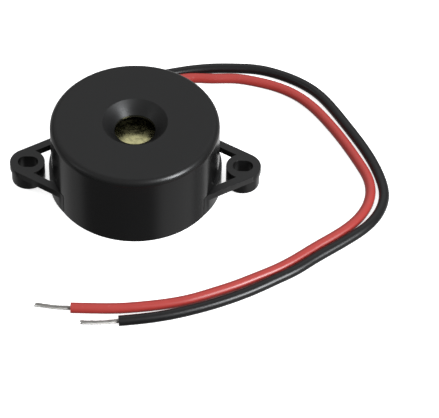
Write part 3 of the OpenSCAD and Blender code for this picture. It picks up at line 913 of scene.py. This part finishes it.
class BUZZER_OT_stage(bpy.types.Operator):
    """Make the camera, the floor and the studio light"""

    bl_idname = "buzzer.stage"
    bl_label = "Stage"

    def execute(self, context):
        s = context.scene.buzzer_stage
        scene = context.scene
        scene.view_settings.view_transform = "Standard"
        back = Vector(
            (
                math.sin(s.azimuth) * math.cos(s.elevation),
                -math.cos(s.azimuth) * math.cos(s.elevation),
                math.sin(s.elevation),
            )
        )
        across = Vector((math.cos(s.azimuth), math.sin(s.azimuth), 0))
        up = back.cross(across)
        right = across * math.cos(s.roll) + up * math.sin(s.roll)
        top = up * math.cos(s.roll) - across * math.sin(s.roll)
        camera_data = bpy.data.cameras.new("Camera")
        camera_data.lens = s.lens
        camera_data.sensor_width = 36
        camera_data.clip_start = 0.01
        camera = bpy.data.objects.new("Camera", camera_data)
        turn = Matrix((right, top, back)).transposed().to_4x4()
        camera.matrix_world = Matrix.Translation(Vector(s.aim) + back * s.distance) @ turn
        scene.collection.objects.link(camera)
        scene.camera = camera

        half = FLOOR_HALF
        floor_mesh = bpy.data.meshes.new("Floor")
        floor_mesh.from_pydata(
            [(-half, -half, 0), (half, -half, 0), (half, half, 0), (-half, half, 0)], [], [(0, 1, 2, 3)]
        )
        floor_mesh.transform(Matrix.Translation((0, 0, -FLOOR_DROP)))
        floor = new_object("Floor", floor_mesh)
        floor.visible_glossy = False
        floor.visible_diffuse = False
        paper = Finish("Paper")
        tooth = paper.noise(0.3, 3)
        paper.varying(
            Base_Color=paper.mix(tooth, (0.9, 0.9, 0.9), (0.94, 0.94, 0.94)),
            Normal=paper.bump(tooth, 0.004),
        )
        paper.fixed(
            Roughness=0.9, Specular_IOR_Level=0.1, Emission_Color=(1, 1, 1, 1), Emission_Strength=0.7
        )
        floor.data.materials.append(paper.material)
        self.lights(scene)
        self.surroundings(scene)
        return {"FINISHED"}

    def lights(self, scene):
        """Soft boxes that face the object: name, place in metres, width, height and power."""
        boxes = [
            ("Key box", (0.56, -0.41, 0.4), 0.24, 0.44, 7.0),
            ("Back box", (0.02, 0.5, 0.62), 0.75, 0.45, 0.25),
            ("Left box", (-0.72, -0.2, 0.4), 0.2, 0.4, 0.2),
        ]
        for name, place, width, height, power in boxes:
            data = bpy.data.lights.new(name, "AREA")
            data.shape = "RECTANGLE"
            data.size, data.size_y = width, height
            data.energy = power
            data.color = LAMP_COLOUR
            way = Vector(place).normalized()
            across = Vector((0, 0, 1)).cross(way).normalized()
            turn = Matrix((across, way.cross(across), way)).transposed().to_4x4()
            lamp = bpy.data.objects.new(name, data)
            lamp.matrix_world = Matrix.Translation(place) @ turn
            scene.collection.objects.link(lamp)

    def surroundings(self, scene):
        """Even white light, with a studio of soft shades for the reflections."""
        world = bpy.data.worlds.new("Studio")
        world.use_nodes = True
        tree = Tree(world.node_tree)
        world.node_tree.nodes.clear()
        way = tree.add("ShaderNodeSeparateXYZ", values={0: tree.add("ShaderNodeTexCoord").out("Generated")})
        x, y, z = way.out("X"), way.out("Y"), way.out("Z")
        # Angle from the front, positive to the right, and the height above the horizon
        angle = x.calc("ARCTAN2", x, -y) * (180 / math.pi)
        below = (
            0.1
            + 0.36 * angle.part(22, 44) * (1 - 0.72 * angle.part(84, 92))
            + 0.66 * angle.part(110, 114)
            + 0.2 * (-angle).part(66, 84)
            + 0.1 * (-angle).part(94, 112)
        )
        # The far floor is pale, the backdrop above it dark, and the ceiling lighter again
        low = below + (0.5 - below) * z.part(-0.55, -0.35) * y.part(0.3, 0.7)
        high = 0.17 + (0.13 + 0.18 * y.part(-0.2, 0.8)) * z.part(0.2, 0.6)
        shade = low + (high - low) * z.part(-0.04, 0.04)
        glossy = tree.add("ShaderNodeLightPath").out("Is Glossy Ray")
        even = 0.1 + 0.95 * z.part(-0.2, 0.9) + 0.25 * x.part(-0.3, 1)
        strength = glossy * shade + (1 - glossy) * even
        light = tree.add("ShaderNodeBackground", values={"Color": (1, 1, 1, 1), "Strength": strength})
        end = world.node_tree.nodes.new("ShaderNodeOutputWorld")
        world.node_tree.links.new(light.socket, end.inputs["Surface"])
        scene.world = world


class BUZZER_OT_leads(bpy.types.Operator):
    """Make the two insulated leads and their stripped, twisted ends"""

    bl_idname = "buzzer.leads"
    bl_label = "Leads"

    def execute(self, context):
        make_lead("red_lead", "red_tip", RED_PATH, RED_TIP_PATH, "red_insulation", 3)
        make_lead("black_lead", "black_tip", BLACK_PATH, BLACK_TIP_PATH, "black_insulation", 8)
        return {"FINISHED"}


class BUZZER_OT_cap(bpy.types.Operator):
    """Make the cap: a turned shell with its sound hole, ear notches and lead outlet"""

    bl_idname = "buzzer.cap"
    bl_label = "Cap"

    def execute(self, context):
        s, lead = context.scene.buzzer_housing, context.scene.buzzer_leads
        top, r, e = s.body_height, s.body_radius, s.edge_radius
        skirt, bore = r - s.skirt_wall, r - s.upper_wall
        ledge = bore - s.ledge_width
        ceiling, ledge_z = top - s.top_wall, float(BEAD_HIGH[2])
        board_top = float(BOARD_HIGH[2])
        outline = rounded(
            [
                (r - s.foot_bevel, 0, 0.02), (r, s.foot_bevel, 0.05), (r, 4, 0), (r, 7.5, 0),
                (r, top, s.rim_radius), (8, top, 0), (s.sink_radius, top, 0.22),
                (s.hole_radius, top - s.sink_depth, e), (s.hole_radius, ceiling, e), (ledge, ceiling, e),
                (ledge, ledge_z, e), (bore, ledge_z, 0.05), (bore, board_top, e), (skirt, board_top, 0.05),
                (skirt, 0, 0.05),
            ],
            steps=8,
        )
        shell = new_object("cap_shell", line_mesh("cap", [(x, -z, 0) for x, z in outline], closed=True))
        run_tree(
            shell, TREES["turned"], Core_radius=1 * MM, Segments=s.segments, Material=material("cap_plastic")
        )
        close_up(shell)
        notches = [self.notch(s, skirt, r, turn) for turn in (0, math.pi)]
        cut_away(shell, *notches, *self.outlet(s, lead, skirt, r))
        smooth(close_up(shell), 32)
        mount(shell, "cap_plastic", "cap")
        return {"FINISHED"}

    def notch(self, s, skirt, r, turn):
        """A cutter for the place that an ear's pad fills."""
        half = s.pad_angle + s.fit_gap / r
        angles = np.linspace(-half, half, NOTCH_STEPS + 1) + turn
        near, far = skirt - CUTTER_MARGIN, r + CUTTER_MARGIN
        inner = [(near * math.cos(a), near * math.sin(a)) for a in angles]
        outer = [(far * math.cos(a), far * math.sin(a)) for a in angles[::-1]]
        return slab("notch", inner + outer, -CUTTER_MARGIN, s.ear_top + s.fit_gap)

    def outlet(self, s, lead, skirt, r):
        """Cutters for the opening that the leads leave by."""
        gap = lead.lead_diameter / 2 + lead.outlet_gap
        half = lead.pitch / 2 + gap
        z = lead.outlet_height
        outline = [(half, -CUTTER_MARGIN), (half, z)]
        for k in range(OUTLET_STEPS + 1):
            a = math.pi / 2 * k / OUTLET_STEPS
            outline.append((lead.pitch / 2 + gap * math.cos(a), z + gap * math.sin(a)))
        outline += [(-x, y) for x, y in outline[::-1]]
        cutter = slab("outlet", outline, -(r + CUTTER_MARGIN), -(skirt - CUTTER_MARGIN))
        cutter.data.transform(Matrix.Rotation(math.pi / 2, 4, "X"))
        return [close_up(cutter)]


class BUZZER_OT_base(bpy.types.Operator):
    """Make the base with its two ears, its edges rounded as moulding leaves them"""

    bl_idname = "buzzer.base"
    bl_label = "Base and ears"

    def execute(self, context):
        plate = new_object("base_plate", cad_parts["base"].data.copy())
        close_up(plate, BASE_MERGE_DISTANCE)
        work = bmesh.new()
        work.from_mesh(plate.data)
        flat = math.radians(FLAT_ANGLE)
        bmesh.ops.dissolve_limit(work, angle_limit=flat, verts=work.verts, edges=work.edges)
        work.to_mesh(plate.data)
        work.free()
        bevel = plate.modifiers.new("Edges", "BEVEL")
        bevel.width = BASE_BEVEL * MM
        bevel.segments = BASE_BEVEL_STEPS
        bevel.limit_method = "ANGLE"
        bevel.angle_limit = math.radians(BASE_BEVEL_ANGLE)
        bevel.use_clamp_overlap = True
        bake(plate)
        smooth(plate, 50)
        even = plate.modifiers.new("Flat faces", "WEIGHTED_NORMAL")
        even.mode = "FACE_AREA"
        even.weight = 80
        even.keep_sharp = True
        bake(plate)
        mount(plate, "base_plastic", "base")
        return {"FINISHED"}


class BUZZER_OT_sounder(bpy.types.Operator):
    """Finish the diaphragm, the ceramic, its electrodes and the silicone bead"""

    bl_idname = "buzzer.sounder"
    bl_label = "Sounder"

    def execute(self, context):
        for name, finish in (
            ("diaphragm", "brass"),
            ("piezo_disc", "ceramic"),
            ("main_electrode", "silver"),
            ("feedback_electrode", "silver"),
            ("silicone_bead", "silicone"),
        ):
            paint(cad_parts[name], finish)
        return {"FINISHED"}


class BUZZER_OT_circuit(bpy.types.Operator):
    """Finish the circuit board, its components, fine wires and joints"""

    bl_idname = "buzzer.circuit"
    bl_label = "Circuit"

    def execute(self, context):
        for name, finish in (
            ("circuit_board", "laminate"),
            ("transistor", "moulding"),
            ("transistor_legs", "tinned_lead"),
            ("load_resistor", "resistor_body"),
            ("bias_resistor", "resistor_body"),
            ("feedback_resistor", "resistor_body"),
            ("resistor_terminals", "tinned_lead"),
            ("brass_jumper", "black_insulation"),
            ("main_jumper", "red_insulation"),
            ("feedback_jumper", "blue_insulation"),
            ("brass_joint", "solder"),
            ("main_joint", "solder"),
            ("feedback_joint", "solder"),
            ("jumper_joints", "solder"),
            ("red_joint", "solder"),
            ("black_joint", "solder"),
            ("red_core", "tinned_copper"),
            ("black_core", "tinned_copper"),
        ):
            paint(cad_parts[name], finish)
        return {"FINISHED"}


OPERATORS = (
    BUZZER_OT_stage,
    BUZZER_OT_leads,
    BUZZER_OT_cap,
    BUZZER_OT_base,
    BUZZER_OT_sounder,
    BUZZER_OT_circuit,
)


class BUZZER_PT_pieces(bpy.types.Panel):
    """The buzzer's pieces and the stage"""

    bl_idname = "BUZZER_PT_pieces"
    bl_label = "Piezo buzzer"
    bl_space_type = "VIEW_3D"
    bl_region_type = "UI"
    bl_category = "Buzzer"

    def draw(self, context):
        for operator in OPERATORS:
            self.layout.operator(operator.bl_idname)


SETTINGS = (
    ("buzzer_housing", HousingSizes),
    ("buzzer_leads", LeadSizes),
    ("buzzer_finishes", Finishes),
    ("buzzer_stage", StageSettings),
)


def register():
    for name, group in SETTINGS:
        bpy.utils.register_class(group)
        setattr(bpy.types.Scene, name, PointerProperty(type=group))
    for operator in OPERATORS:
        bpy.utils.register_class(operator)
    bpy.utils.register_class(BUZZER_PT_pieces)


def unregister():
    bpy.utils.unregister_class(BUZZER_PT_pieces)
    for operator in reversed(OPERATORS):
        bpy.utils.unregister_class(operator)
    for name, group in reversed(SETTINGS):
        delattr(bpy.types.Scene, name)
        bpy.utils.unregister_class(group)


def main():
    register()
    TREES.update(swept=swept_tree(), strands=strand_tree(), turned=turned_tree())
    bpy.ops.buzzer.stage()
    bpy.ops.buzzer.leads()
    bpy.ops.buzzer.cap()
    bpy.ops.buzzer.base()
    bpy.ops.buzzer.sounder()
    bpy.ops.buzzer.circuit()


if __name__ == "__main__":
    main()
